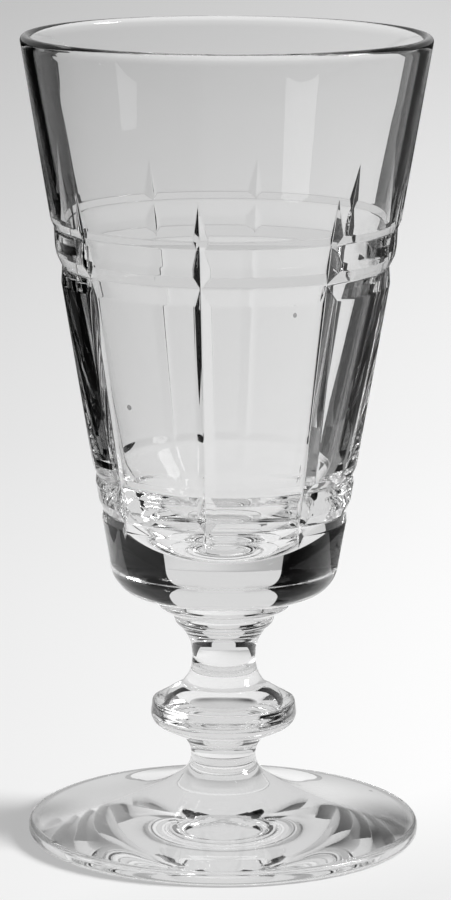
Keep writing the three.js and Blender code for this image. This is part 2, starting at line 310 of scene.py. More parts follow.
class GlassSizes(bpy.types.PropertyGroup):
    """Sizes of the glass"""

    foot_radius: length("Foot radius", "Outer radius of the foot", 29.5)
    foot_edge: length("Foot edge", "Thickness of the foot at its edge", 2.2)
    foot_rounding: length("Foot rounding", "Rounding of the foot's edge", 0.9)
    foot_shoulder_radius: length("Foot shoulder", "Radius where the slope of the foot starts to flare", 16)
    foot_shoulder_height: length("Foot shoulder height", "Height of that shoulder", 5.15)
    foot_flare_radius: length("Foot flare", "Radius that the flare of the foot bends round", 9)
    resting_ring: length("Resting ring", "Width of the flat ring that the glass stands on", 4.5)
    underside_rise: length("Underside rise", "How far the underside of the foot is hollowed", 0.3)
    pontil_radius: length("Pontil radius", "Radius of the polished pontil under the foot", 8)
    pontil_depth: length("Pontil depth", "Depth of the polished pontil", 0.15)

    foot_seat: length("Foot seat", "Radius of the joint between foot and stem", 6.1)
    lower_waist: length("Lower waist", "Least radius of the stem under the knop", 4.9)
    knop_low_seat: length("Knop lower seat", "Radius of the joint under the knop", 6.6)
    knop_radius: length("Knop radius", "Outer radius of the knop", 11)
    knop_low_slope: length("Knop lower slope", "Height of the knop's sloping underside", 1.7)
    knop_band: length("Knop band", "Height of the knop's side", 3.7)
    knop_low_inset: length("Knop lower inset", "How far the knop's lower edge lies inside its side", 1)
    knop_top_inset: length("Knop upper inset", "How far the knop's upper edge lies inside its side", 0.25)
    knop_top_seat: length("Knop upper seat", "Radius of the joint over the knop", 6.4)
    upper_waist: length("Upper waist", "Least radius of the stem over the knop", 4.78)
    collar_seat: length("Collar seat", "Radius of the joint under the stem collar", 6.9)
    collar_radius: length("Collar radius", "Outer radius of the stem collar", 7.55)
    collar_rounding: length("Collar rounding", "Rounding of the stem collar's upper edge", 0.5)
    merese_low_seat: length("Merese lower edge", "Radius of the merese's lower face", 7.9)
    merese_radius: length("Merese radius", "Outer radius of the merese", 9.8)
    merese_edge: length("Merese edge height", "Height of the merese's edge over its lower face", 1.2)
    merese_band: length("Merese band", "Height of the merese's upright edge", 0.5)
    merese_top_seat: length("Merese upper seat", "Radius of the joint under the bowl", 9.4)
    edge_softness: length("Edge softness", "Rounding that fire polishing leaves on crisp edges", 0.25)

    rim_radius: length("Rim radius", "Radius of the bowl's cone at the height of its rim", 30.45)
    base_radius: length("Base radius", "Radius of the bowl's cone at the height of its base", 16.3)
    base_rounding: length("Base rounding", "Rounding between the bowl's wall and its underside", 5)
    base_rise: length("Base rise", "Rise of the bowl's underside from its joint outwards", 0.7)
    wall_at_rim: length("Wall at the rim", "Thickness of the wall at the rim", 1.6)
    wall_at_floor: length("Wall at the floor", "Thickness of the wall where the floor's rounding starts", 3.6)
    floor_thickness: length("Floor", "Thickness of glass under the lowest point of the hollow", 7.5)
    floor_bend_inset: length("Floor bend inset", "How far the floor's bend lies inside the wall's foot", 5.5)
    floor_rounding: length("Floor rounding", "Height over which the wall bends into the floor", 12.5)

    mitre_count: bpy.props.IntProperty(
        name="Mitre cuts", description="Upright cuts round the bowl", default=8
    )
    mitre_turn: angle("Mitre turn", "Turn of the first mitre cut from the front", -8.5)
    mitre_depth: length("Mitre depth", "Depth of a mitre cut of full weight", 0.6)
    mitre_left: length("Mitre left flank", "Width of a mitre cut's steeper left flank at the surface", 1.2)
    mitre_right: length("Mitre right flank", "Width of a mitre cut's right flank at the surface", 1.7)
    mitre_hollow: amount("Mitre hollow", "How far the left flank hollows towards the root; 1 is flat", 2)
    mitre_tip_below_rim: length("Mitre upper tip", "Distance from the rim down to a cut's upper tip", 21.4)
    mitre_tip_above_base: length("Mitre lower tip", "Distance from the base up to a cut's lower tip", 11)
    mitre_upper_run_out: length("Upper run-out", "Length over which a cut's upper end runs out", 6.5)
    mitre_lower_run_out: length("Lower run-out", "Length over which a cut's lower end runs out", 3)
    mitre_hairline: length("Mitre hairline", "Half width left to a cut's columns where there is no cut", 0.1)
    ring_softness: length("Ring softness", "Rounding that polishing leaves on the ring cuts", 0.15)


class RingCut(bpy.types.PropertyGroup):
    """One ring cut round the bowl"""

    height: length("Height", "Height of the root over the bowl's base", 0)
    depth: length("Depth", "Depth at the root", 0)
    lower_flank: length("Lower flank", "Height of the flank under the root", 0)
    upper_flank: length("Upper flank", "Height of the flank over the root", 0)


class CrystalLook(bpy.types.PropertyGroup):
    """Finish of the crystal"""

    colour: tone("Colour", "Colour of the crystal", 0.9)
    speck_colour: tone("Speck colour", "Colour of dust and seeds in the crystal", 0.2)
    refraction: amount("Refractive index", "Refractive index of the crystal", 1.52)
    gloss: tone("Gloss", "Colour of reflections met head on", 0.3)
    polish: amount("Polish", "Roughness of the polished surface", 0.004)
    haze: amount("Haze", "Roughness added by fingerprints and water marks", 0.03)
    wave_strength: amount("Wave strength", "Strength of the waves left by blowing and polishing", 0.06)
    wave_height: length("Wave height", "Height of those waves", 0.03)


class StageLook(bpy.types.PropertyGroup):
    """Camera, floor and light"""

    camera_distance: length("Camera distance", "Distance of the camera from the axis of the glass", 594.8)
    camera_height: length("Camera height", "Height of the camera over the floor", 178.27)
    camera_side: length("Camera side", "Sideways shift of the camera", 0.1)
    camera_pitch: angle("Camera pitch", "Downward tilt of the camera", 11.349)
    camera_roll: angle("Camera roll", "Roll of the camera about its line of sight", 0.28)
    focal_length: amount("Focal length", "Focal length in millimetres for a 36 mm long side", 162.42)
    floor_level: amount("Floor", "Level of the floor's pale colour", 0.9)
    floor_size: length("Floor size", "Half the side of the floor", 6000)
    floor_fade: length("Floor fade", "Distance at which the floor starts to fade into the studio", 1500)
    gathered_light: amount("Gathered light", "Level of the light that the foot gathers under it", 0.75)
    sky_low: tone("Low sky", "Colour of the studio at the height of the glass", 0.76)
    sky_high: tone("High sky", "Colour of the studio overhead", 0.4)
    reflected: amount("Reflected", "Share of the distant floor that is left to reflections", 0.08)
    reflected_sky: amount("Reflected sky", "Share of the studio's light that is left to reflections", 0.6)
    lamp_power: amount("Lamp power", "Power of the soft lamp at the right, in watts", 21.5)
    lamp_size: length("Lamp size", "Side of the soft lamp", 430)
    lamp_distance: length("Lamp distance", "Distance of the lamp from the foot", 1500)
    lamp_turn: angle("Lamp turn", "Turn of the lamp from straight behind the glass", 97)
    lamp_rise: angle("Lamp rise", "Rise of the lamp over the floor", 33)
    shadow_clearness: amount("Shadow clearness", "Light that each wall of the glass lets through", 0.15)


def cone_radius(sizes, height):
    """Radius of the bowl's plain cone at a height over its base."""
    return sizes.base_radius + (sizes.rim_radius - sizes.base_radius) * height / (BOWL_HIGH - BOWL_LOW)


class Outline:
    """A (radius, height) outline, drawn upwards and outwards from the axis and back to it."""

    def __init__(self, radius, height):
        self.points = [(Vector((radius, height)), 0)]

    def to(self, radius, height, rounding=0):
        """A straight line to a corner, which may be rounded."""
        self.points.append((Vector((radius, height)), rounding))
        return self

    def curve(self, corner, end, steps=CURVE_STEPS):
        """A curve that leaves towards the corner and arrives from it."""
        start = self.points[-1][0]
        bend = Vector(corner)
        finish = Vector(end)
        for step in range(1, steps + 1):
            t = step / steps
            point = start * (1 - t) ** 2 + bend * (2 * t * (1 - t)) + finish * t**2
            self.points.append((point, 0))
        return self

    def arc(self, centre, radius, start, end, steps=CURVE_STEPS):
        """A round stretch about a centre, between two angles from straight out."""
        for step in range(steps + 1):
            turn = start + (end - start) * step / steps
            point = Vector(centre) + radius * Vector((math.cos(turn), math.sin(turn)))
            self.points.append((point, 0))
        return self

    def drawn(self):
        """The outline's points, with each rounded corner drawn and held by a point on either side."""
        line = []
        for index, (point, rounding) in enumerate(self.points):
            if not rounding:
                line.append(point)
                continue
            back = self.points[index - 1][0] - point
            ahead = self.points[index + 1][0] - point
            shorter = min(back.length, ahead.length)
            reach = min(rounding, ROUNDED_SHARE * shorter)
            hold = min(reach + CORNER_SUPPORT, HELD_SHARE * shorter)
            line.append(point + back.normalized() * hold)
            for step in range(CORNER_STEPS + 1):
                t = step / CORNER_STEPS
                leaving = back.normalized() * reach * (1 - t) ** 2
                arriving = ahead.normalized() * reach * t**2
                line.append(point + leaving + arriving)
            line.append(point + ahead.normalized() * hold)
        return line


def spun(points, steps):
    """A bmesh turned from an outline about the Z axis, closed at its poles."""
    mesh = bmesh.new()
    verts = [mesh.verts.new((point.x, 0, point.y)) for point in points]
    edges = [mesh.edges.new(pair) for pair in zip(verts, verts[1:])]
    bmesh.ops.spin(
        mesh,
        geom=verts + edges,
        cent=(0, 0, 0),
        axis=(0, 0, 1),
        angle=2 * math.pi,
        steps=steps,
        use_merge=True,
        use_duplicate=False,
    )
    bmesh.ops.remove_doubles(mesh, verts=mesh.verts, dist=MERGE_DISTANCE)
    bmesh.ops.dissolve_degenerate(mesh, edges=mesh.edges, dist=MERGE_DISTANCE)
    bmesh.ops.recalc_face_normals(mesh, faces=mesh.faces)
    return mesh


def new_object(name, data):
    """A new object in the scene."""
    made = bpy.data.objects.new(name, data)
    bpy.context.scene.collection.objects.link(made)
    return made


def finish_piece(mesh, name, seats):
    """Makes the object of one gather of glass.

    Its seats, given as pairs of height and radius, are fused joints that don't show.
    """
    for face in mesh.faces:
        face.smooth = True
        for height, radius in seats:
            level = all(abs(vert.co.z - height) < MERGE_DISTANCE for vert in face.verts)
            if level and all(vert.co.xy.length < radius + MERGE_DISTANCE for vert in face.verts):
                face.material_index = 1
    for edge in mesh.edges:
        edge.smooth = edge.calc_face_angle(0) < CREASE_ANGLE
    data = bpy.data.meshes.new(name)
    mesh.to_mesh(data)
    mesh.free()
    data.materials.append(bpy.data.materials["polished_crystal"])
    data.materials.append(bpy.data.materials["fused_joint"])
    piece = new_object(f"crystal_{name}", data)
    piece.visible_shadow = False
    piece.visible_diffuse = False
    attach(piece, BODY)
    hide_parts(name)
    return piece


class Value:
    """A shader socket; arithmetic on it adds Math nodes."""

    def __init__(self, shader, socket):
        self.shader = shader
        self.socket = socket

    def __add__(self, other):
        return self.shader.maths("ADD", self, other)

    def __mul__(self, other):
        return self.shader.maths("MULTIPLY", self, other)

    def __sub__(self, other):
        return self.shader.maths("SUBTRACT", self, other)

    def __rsub__(self, other):
        return self.shader.maths("SUBTRACT", other, self)

    def __truediv__(self, other):
        return self.shader.maths("DIVIDE", self, other)

    def __lt__(self, other):
        return self.shader.maths("LESS_THAN", self, other)

    def __gt__(self, other):
        return self.shader.maths("GREATER_THAN", self, other)

    __radd__ = __add__
    __rmul__ = __mul__


class Shader:
    """Builds the nodes of one material or world."""

    def __init__(self, owner):
        owner.use_nodes = True
        self.tree = owner.node_tree
        self.tree.nodes.clear()

    def node(self, kind, settings=None, sockets=None):
        """Adds a node, then its settings, then the values or links of its sockets."""
        node = self.tree.nodes.new(kind)
        for name, value in (settings or {}).items():
            if name == "stops":
                elements = node.color_ramp.elements
                for position, _ in value[len(elements):]:
                    elements.new(position)
                for element, (position, level) in zip(elements, sorted(value)):
                    element.position = position
                    element.color = grey(level)
            else:
                setattr(node, name, value)
        for key, value in (sockets or {}).items():
            if isinstance(value, Value):
                self.tree.links.new(value.socket, node.inputs[key])
            else:
                node.inputs[key].default_value = value
        return node

    def value(self, kind, output, settings=None, sockets=None):
        """Adds a node and gives the value of one of its outputs."""
        return Value(self, self.node(kind, settings, sockets).outputs[output])

    def maths(self, operation, *operands):
        return self.value("ShaderNodeMath", 0, {"operation": operation}, dict(enumerate(operands)))

    def ray(self, output):
        return self.value("ShaderNodeLightPath", output)

    def mixed(self, factor, first, second, blend="MIX"):
        """One colour that turns into, or takes on, another by a factor."""
        settings = {"data_type": "RGBA", "blend_type": blend}
        return self.value("ShaderNodeMix", "Result", settings, {"Factor": factor, "A": first, "B": second})

    def either(self, factor, first, second):
        """One surface that turns into another by a factor."""
        return self.value("ShaderNodeMixShader", "Shader", None, {0: factor, 1: first, 2: second})

    def output(self, surface, kind="ShaderNodeOutputMaterial"):
        self.node(kind, None, {"Surface": surface})


def with_alpha(colour):
    return (*colour, 1)


def grey(level):
    return (level, level, level, 1)


def make_crystal(look):
    """Clear crystal: polished, faintly waved, with water marks and a few dust specks."""
    material = bpy.data.materials.new("polished_crystal")
    shader = Shader(material)
    place = shader.value("ShaderNodeTexCoord", "Object")
    stretched = shader.value("ShaderNodeMapping", "Vector", None, {"Vector": place, "Scale": WAVE_SCALES})
    waves = shader.value(
        "ShaderNodeTexNoise", "Fac", None, {"Vector": stretched, "Scale": 1, "Detail": WAVE_DETAIL}
    )
    marks = shader.value(
        "ShaderNodeTexNoise", "Fac", None, {"Vector": place, "Scale": MARK_SCALE, "Detail": MARK_DETAIL}
    )
    smears = shader.value("ShaderNodeValToRGB", "Color", {"stops": MARK_LEVELS}, {"Fac": marks})
    cells = shader.value("ShaderNodeTexVoronoi", "Distance", None, {"Vector": place, "Scale": SPECK_CELLS})
    lots = shader.value("ShaderNodeTexVoronoi", "Color", None, {"Vector": place, "Scale": SPECK_CELLS})
    chosen = shader.value("ShaderNodeSeparateColor", "Red", None, {"Color": lots}) > SPECK_LEVEL
    specks = (cells < SPECK_SIZE) * chosen
    colour = shader.mixed(specks, with_alpha(look.colour), with_alpha(look.speck_colour))
    bump = shader.value(
        "ShaderNodeBump",
        "Normal",
        None,
        {"Strength": look.wave_strength, "Distance": look.wave_height, "Height": waves},
    )
    surface = shader.value(
        "ShaderNodeBsdfPrincipled",
        "BSDF",
        None,
        {
            "Base Color": colour,
            "Roughness": look.polish + smears * look.haze,
            "IOR": look.refraction,
            "Specular Tint": with_alpha(look.gloss),
            "Transmission Weight": 1.0,
            "Normal": bump,
        },
    )
    shader.output(surface)


def make_fused_joint():
    """Where two gathers were joined hot there is no surface left to see."""
    shader = Shader(bpy.data.materials.new("fused_joint"))
    clear = shader.value("ShaderNodeBsdfTransparent", "BSDF", None, {"Color": grey(1)})
    shader.output(clear)


class JUICE_GLASS_OT_finish(bpy.types.Operator):
    """Make the crystal's materials"""

    bl_idname = "juice_glass.finish"
    bl_label = "Crystal Finish"

    def execute(self, context):
        make_crystal(context.scene.crystal_look)
        make_fused_joint()
        return {"FINISHED"}


class JUICE_GLASS_OT_foot(bpy.types.Operator):
    """Model the sloping foot with its resting ring and polished pontil"""

    bl_idname = "juice_glass.foot"
    bl_label = "Foot"

    def execute(self, context):
        sizes = context.scene.glass_sizes
        ring_outer = sizes.foot_radius - sizes.foot_rounding
        ring_inner = ring_outer - sizes.resting_ring
        hollow = FOOT_LOW + sizes.underside_rise
        dome_middle = (sizes.pontil_radius + ring_inner) / 2
        edge_top = FOOT_LOW + sizes.foot_edge
        slope = (sizes.foot_shoulder_height - sizes.foot_edge) / (ring_outer - sizes.foot_shoulder_radius)
        flare_run = sizes.foot_shoulder_radius - sizes.foot_flare_radius
        flare_height = sizes.foot_shoulder_height + slope * flare_run
        outline = (
            Outline(0, hollow + sizes.pontil_depth)
            .curve((sizes.pontil_radius / 2, hollow + sizes.pontil_depth), (sizes.pontil_radius, hollow))
            .curve((dome_middle, hollow), (ring_inner, FOOT_LOW))
            .to(ring_outer, FOOT_LOW)
            .curve((sizes.foot_radius, FOOT_LOW), (sizes.foot_radius, FOOT_LOW + sizes.foot_rounding))
            .to(sizes.foot_radius, edge_top - sizes.foot_rounding)
            .curve((sizes.foot_radius, edge_top), (ring_outer, edge_top))
            .to(sizes.foot_shoulder_radius, FOOT_LOW + sizes.foot_shoulder_height)
            .curve((sizes.foot_flare_radius, FOOT_LOW + flare_height), (sizes.foot_seat, FOOT_HIGH))
            .to(0, FOOT_HIGH)
        )
        finish_piece(spun(outline.drawn(), TURNED_STEPS), "foot", [(FOOT_HIGH, sizes.foot_seat)])
        return {"FINISHED"}


def waisted_stem(name, low, high, low_seat, waist, high_seat):
    """A waisted stretch of stem between two joints."""
    height = high - low
    middle = low + STEM_WAIST * height
    outline = (
        Outline(0, low)
        .to(low_seat, low)
        .curve((waist, low + STEM_LOWER_BEND * height), (waist, middle))
        .curve((waist, low + STEM_UPPER_BEND * height), (high_seat, high))
        .to(0, high)
    )
    finish_piece(spun(outline.drawn(), TURNED_STEPS), name, [(low, low_seat), (high, high_seat)])


class JUICE_GLASS_OT_stems(bpy.types.Operator):
    """Model the waisted stem under and over the knop"""

    bl_idname = "juice_glass.stems"
    bl_label = "Stems"

    def execute(self, context):
        sizes = context.scene.glass_sizes
        waisted_stem(
            "lower_stem",
            LOWER_STEM_LOW,
            LOWER_STEM_HIGH,
            sizes.foot_seat,
            sizes.lower_waist,
            sizes.knop_low_seat,
        )
        waisted_stem(
            "upper_stem",
            UPPER_STEM_LOW,
            UPPER_STEM_HIGH,
            sizes.knop_top_seat,
            sizes.upper_waist,
            sizes.collar_seat,
        )
        return {"FINISHED"}


class JUICE_GLASS_OT_knop(bpy.types.Operator):
    """Model the knop, a thick disc with a crisp upper edge"""

    bl_idname = "juice_glass.knop"
    bl_label = "Knop"

    def execute(self, context):
        sizes = context.scene.glass_sizes
        band_low = KNOP_LOW + sizes.knop_low_slope
        band_high = band_low + sizes.knop_band
        side = (sizes.knop_radius, (band_low + band_high) / 2)
        outline = (
            Outline(0, KNOP_LOW)
            .to(sizes.knop_low_seat, KNOP_LOW)
            .to(sizes.knop_radius - sizes.knop_low_inset, band_low)
            .curve((sizes.knop_radius, band_low + KNOP_BEND * sizes.knop_band), side)
            .to(sizes.knop_radius - sizes.knop_top_inset, band_high, sizes.edge_softness)
            .to(sizes.knop_top_seat, KNOP_HIGH)
            .to(0, KNOP_HIGH)
        )
        seats = [(KNOP_LOW, sizes.knop_low_seat), (KNOP_HIGH, sizes.knop_top_seat)]
        finish_piece(spun(outline.drawn(), TURNED_STEPS), "knop", seats)
        return {"FINISHED"}


class JUICE_GLASS_OT_collar(bpy.types.Operator):
    """Model the stem collar and the sharp-edged merese that carries the bowl"""

    bl_idname = "juice_glass.collar"
    bl_label = "Collar and Merese"

    def execute(self, context):
        sizes = context.scene.glass_sizes
        collar_top = sizes.collar_radius - sizes.collar_rounding
        shoulder = COLLAR_HIGH - sizes.collar_rounding
        collar = (
            Outline(0, COLLAR_LOW)
            .to(sizes.collar_seat, COLLAR_LOW)
            .curve((sizes.collar_radius, COLLAR_LOW + sizes.collar_rounding), (sizes.collar_radius, shoulder))
            .curve((sizes.collar_radius, COLLAR_HIGH), (collar_top, COLLAR_HIGH))
            .to(0, COLLAR_HIGH)
        )
        collar_seats = [(COLLAR_LOW, sizes.collar_seat), (COLLAR_HIGH, collar_top)]
        finish_piece(spun(collar.drawn(), TURNED_STEPS), "stem_collar", collar_seats)
        edge = MERESE_LOW + sizes.merese_edge
        merese = (
            Outline(0, MERESE_LOW)
            .to(collar_top, MERESE_LOW)
            .to(sizes.merese_low_seat, MERESE_LOW, sizes.edge_softness)
            .to(sizes.merese_radius, edge, sizes.edge_softness)
            .to(sizes.merese_radius, edge + sizes.merese_band, sizes.edge_softness)
            .to(sizes.merese_top_seat, MERESE_HIGH)
            .to(0, MERESE_HIGH)
        )
        merese_seats = [(MERESE_LOW, collar_top), (MERESE_HIGH, sizes.merese_top_seat)]
        finish_piece(spun(merese.drawn(), TURNED_STEPS), "merese", merese_seats)
        return {"FINISHED"}


def ring_cut(outline, sizes, ring):
    """Draws one ring cut into an outline that climbs the cone."""
    low = ring.height - ring.lower_flank
    high = ring.height + ring.upper_flank
    outline.to(cone_radius(sizes, low), BOWL_LOW + low, sizes.ring_softness)
    outline.to(cone_radius(sizes, ring.height) - ring.depth, BOWL_LOW + ring.height, sizes.ring_softness)
    outline.to(cone_radius(sizes, high), BOWL_LOW + high, sizes.ring_softness)


def bowl_outline(sizes, rings):
    """Rounded base, cone with its ring cuts, round rim, and the hollow with its rounded floor."""
    height = BOWL_HIGH - BOWL_LOW
    taper = math.atan((sizes.rim_radius - sizes.base_radius) / height)
    base_centre_height = sizes.base_rise + sizes.base_rounding
    base_centre = (
        cone_radius(sizes, base_centre_height) - sizes.base_rounding / math.cos(taper),
        BOWL_LOW + base_centre_height,
    )
    rim_rounding = sizes.wall_at_rim / 2
    rim_centre = (
        cone_radius(sizes, height - rim_rounding) - rim_rounding / math.cos(taper),
        BOWL_HIGH - rim_rounding,
    )
    floor_edge_height = sizes.floor_thickness + sizes.floor_rounding
    floor_edge = (cone_radius(sizes, floor_edge_height) - sizes.wall_at_floor, BOWL_LOW + floor_edge_height)
    wall_middle = (floor_edge_height + height) / 2
    lowest = BOWL_LOW + sizes.floor_thickness
    outline = Outline(0, BOWL_LOW).to(sizes.merese_top_seat, BOWL_LOW)
    outline.arc(base_centre, sizes.base_rounding, -math.pi / 2, -taper)
    for ring in rings:
        ring_cut(outline, sizes, ring)
    rim_start = height - 2 * rim_rounding
    outline.to(cone_radius(sizes, rim_start), BOWL_LOW + rim_start)
    outline.arc(rim_centre, rim_rounding, -taper, math.pi - taper)
    outline.to(cone_radius(sizes, rim_start) - sizes.wall_at_rim / math.cos(taper), BOWL_LOW + rim_start)
    wall_bend = (cone_radius(sizes, wall_middle) - sizes.wall_at_rim, BOWL_LOW + wall_middle)
    outline.curve(wall_bend, floor_edge, HOLLOW_WALL_STEPS)
    floor_bend = (floor_edge[0] - sizes.floor_bend_inset, lowest)
    outline.curve(floor_bend, (0, lowest), HOLLOW_FLOOR_STEPS)
    return outline


def with_rows(points, low, high):
    """The points of an outline, with more between them on the outer wall so that the mitre cuts have rows."""
    rows = [points[0]]
    for start, end in zip(points, points[1:]):
        first = max(low, start.y)
        last = min(high, end.y)
        if last > first:
            count = math.ceil((last - first) / WALL_ROW)
            heights = [first + (last - first) * step / count for step in range(count + 1)]
            inside = [height for height in heights if start.y < height < end.y]
            rows.extend(start.lerp(end, (height - start.y) / (end.y - start.y)) for height in inside)
        rows.append(end)
    return rows


def run_out(sizes, height):
    """Share of a mitre cut's depth at a height over the base: none past its tips."""
    top = (BOWL_HIGH - BOWL_LOW) - sizes.mitre_tip_below_rim - height
    bottom = height - sizes.mitre_tip_above_base
    return max(0, min(1, top / sizes.mitre_upper_run_out, bottom / sizes.mitre_lower_run_out))


def mitre_turns(sizes):
    """Turns of the mitre cuts from the front, with what hand cutting leaves them off their even places."""
    sector = 2 * math.pi / sizes.mitre_count
    turns = []
    for number in range(sizes.mitre_count):
        drift = MITRE_DRIFTS[number % len(MITRE_DRIFTS)]
        turns.append(sizes.mitre_turn + number * sector + drift)
    return turns


def nearest_cut(column, count):
    """Number of the mitre cut nearest to a column of the bowl, and the columns from its root."""
    if column % COLUMNS_PER_CUT == COLUMNS_PER_SIDE:
        return column // COLUMNS_PER_CUT, COLUMNS_PER_SIDE
    from_root = (column + COLUMNS_PER_SIDE) % COLUMNS_PER_CUT - COLUMNS_PER_SIDE
    return round(column / COLUMNS_PER_CUT) % count, from_root


def grind_mitres(mesh, sizes):
    """Moves the bowl's vertices so that its columns follow the mitre cuts, and gives those in a cut."""
    turns = mitre_turns(sizes)
    column_step = math.pi / (COLUMNS_PER_SIDE * sizes.mitre_count)
    outer_side = COLUMNS_PER_SIDE - len(CUT_COLUMNS) + 1
    ground = set()
    for vert in mesh.verts:
        radius = vert.co.xy.length
        if radius < MERGE_DISTANCE:
            continue
        column = round(math.atan2(vert.co.y, vert.co.x) % (2 * math.pi) / column_step)
        number, from_root = nearest_cut(column, sizes.mitre_count)
        side = 1 if from_root > 0 else -1
        neighbour = turns[(number + side) % sizes.mitre_count]
        half_sector = abs((neighbour - turns[number] + math.pi) % (2 * math.pi) - math.pi) / 2
        flank = sizes.mitre_right if side > 0 else sizes.mitre_left
        hollow = 1 if side > 0 else sizes.mitre_hollow
        full = sizes.mitre_depth * MITRE_WEIGHTS[number % len(MITRE_WEIGHTS)]
        height = vert.co.z - BOWL_LOW
        plain = cone_radius(sizes, height)
        depth = 0
        if radius > plain - sizes.wall_at_rim / 2:
            depth = max(0, full * run_out(sizes, height) - (plain - radius))
        half = max(sizes.mitre_hairline, depth * flank / full) / plain
        steps = abs(from_root)
        if steps < len(CUT_COLUMNS):
            turn = CUT_COLUMNS[steps] * half
            radius -= depth * max(0, 1 - CUT_COLUMNS[steps]) ** hollow
            if depth:
                ground.add(vert)
        else:
            edge = CUT_COLUMNS[-1] * half
            turn = edge + (half_sector - edge) * (steps - len(CUT_COLUMNS) + 1) / outer_side
        turn = turns[number] + side * turn - math.pi / 2
        vert.co.x = radius * math.cos(turn)
        vert.co.y = radius * math.sin(turn)
    return ground


def true_turned_normals(data, ground):
    """Points each turned vertex's normal straight out from the axis, as its columns are unevenly spaced."""
    normals = []
    for vert in data.vertices:
        normal = vert.normal.copy()
        out = Vector((vert.co.x, vert.co.y, 0))
        if vert.index not in ground and out.length > MERGE_DISTANCE:
            flat = math.copysign(normal.xy.length, normal.dot(out))
            normal = out.normalized() * flat + Vector((0, 0, normal.z))
        normals.append(normal)
    data.normals_split_custom_set_from_vertices(normals)


class JUICE_GLASS_OT_bowl(bpy.types.Operator):
    """Model the cut bowl"""

    bl_idname = "juice_glass.bowl"
    bl_label = "Bowl"

    def execute(self, context):
        sizes = context.scene.glass_sizes
        outline = bowl_outline(sizes, context.scene.ring_cuts)
        low = BOWL_LOW + sizes.base_rounding
        high = BOWL_HIGH - sizes.mitre_tip_below_rim + WALL_ROW
        points = with_rows(outline.drawn(), low, high)
        mesh = spun(points, COLUMNS_PER_CUT * sizes.mitre_count)
        ground = grind_mitres(mesh, sizes)
        bmesh.ops.recalc_face_normals(mesh, faces=mesh.faces)
        mesh.verts.index_update()
        ground_indices = {vert.index for vert in ground}
        piece = finish_piece(mesh, "bowl", [(BOWL_LOW, sizes.merese_top_seat)])
        true_turned_normals(piece.data, ground_indices)
        return {"FINISHED"}


def stage_object(name, mesh, material):
    """An object of the stage, which isn't part of the glass."""
    data = bpy.data.meshes.new(name)
    mesh.to_mesh(data)
    mesh.free()
    data.materials.append(material)
    made = new_object(name, data)
    return made


def reflections_only(shader):
    """One where a ray was mirrored by a surface, none where it comes straight or through the crystal."""
    return shader.ray("Is Glossy Ray") * (1 - shader.ray("Is Transmission Ray"))


def apart(shader, place, centre):
    """Distance of a place from a centre."""
    return shader.value("ShaderNodeVectorMath", "Value", {"operation": "DISTANCE"}, {0: place, 1: centre})


def near(shader, place, centre, full, none):
    """One within a distance of a centre, falling smoothly to none at a greater one."""
    return shader.value(
        "ShaderNodeMapRange",
        "Result",
        {"interpolation_type": "SMOOTHSTEP"},
        {
            "Value": apart(shader, place, centre),
            "From Min": full,
            "From Max": none,
            "To Min": 1,
            "To Max": 0,
        },
    )


def rising(shader, value, low, high):
    """None at the low end of a range, rising evenly to one at its high end."""
    return shader.value(
        "ShaderNodeMapRange", "Result", {"clamp": True}, {"Value": value, "From Min": low, "From Max": high}
    )


def lamp_place(look):
    """Place of the lamp, from its distance, turn and rise."""
    flat = look.lamp_distance * math.cos(look.lamp_rise)
    return Vector((
        flat * math.sin(look.lamp_turn),
        flat * math.cos(look.lamp_turn),
        look.lamp_distance * math.sin(look.lamp_rise),
    ))


def make_floor(look, sizes):
    """A pale floor that fades into the studio, with the light that the clear foot gathers under it."""
    material = bpy.data.materials.new("pale_floor")
    shader = Shader(material)
    place = shader.value("ShaderNodeTexCoord", "Object")
    across = shader.value("ShaderNodeSeparateXYZ", "X", None, {"Vector": place})
    along = shader.value("ShaderNodeSeparateXYZ", "Y", None, {"Vector": place})
    level = look.floor_level
    # The floor's paint, with painted light across it, lighter towards the lamp at the right
    for distance, (low, high), stops in (
        (across, FLOOR_ACROSS, FLOOR_ACROSS_PAINTED_LIGHT),
        (along, FLOOR_ALONG, FLOOR_ALONG_LEVELS),
        (across - along, FLOOR_ASLANT, FLOOR_ASLANT_LEVELS),
    ):
        span = rising(shader, distance, low, high)
        level = level * shader.value("ShaderNodeValToRGB", "Color", {"stops": stops}, {"Fac": span})
    from_lamp = apart(shader, place, lamp_place(look)) / look.lamp_distance
    evened = shader.maths("POWER", from_lamp, LAMP_FALL_OFF)
    beside = rising(shader, across, *FLOOR_EVENED)
    level = level * (1 - beside * (1 - shader.maths("MINIMUM", evened, 1)))
    distant = 1 - near(shader, place, REFLECTED_PLACE, REFLECTED_WHOLE, REFLECTED_DIM)
    dimmed = 1 - reflections_only(shader) * distant * (1 - look.reflected)
    paint = shader.value("ShaderNodeBsdfDiffuse", "BSDF", None, {"Color": level * dimmed})
    gathered = look.gathered_light
    for (x, y), reach, change in GATHERED_SPOTS:
        gathered = near(shader, place, (x * MM, y * MM, 0), 0, reach * MM) * change + gathered
    glow = shader.value("ShaderNodeEmission", "Emission", None, {"Color": gathered})
    studio = shader.value("ShaderNodeEmission", "Emission", None, {"Color": dimmed * look.sky_low[0]})
    fade = sizes.foot_radius - GATHERED_FADE
    under_foot = near(shader, place, (0, 0, 0), fade, sizes.foot_radius - GATHERED_END)
    lit = shader.either(under_foot, paint, glow)
    close = near(shader, place, (0, 0, 0), look.floor_fade, 2 * look.floor_fade)
    shader.output(shader.either(close, studio, lit))
    material.cycles.emission_sampling = "NONE"
    mesh = bmesh.new()
    bmesh.ops.create_grid(mesh, x_segments=1, y_segments=1, size=look.floor_size)
    floor = stage_object("floor", mesh, material)
    floor.location.z = -FLOOR_GAP


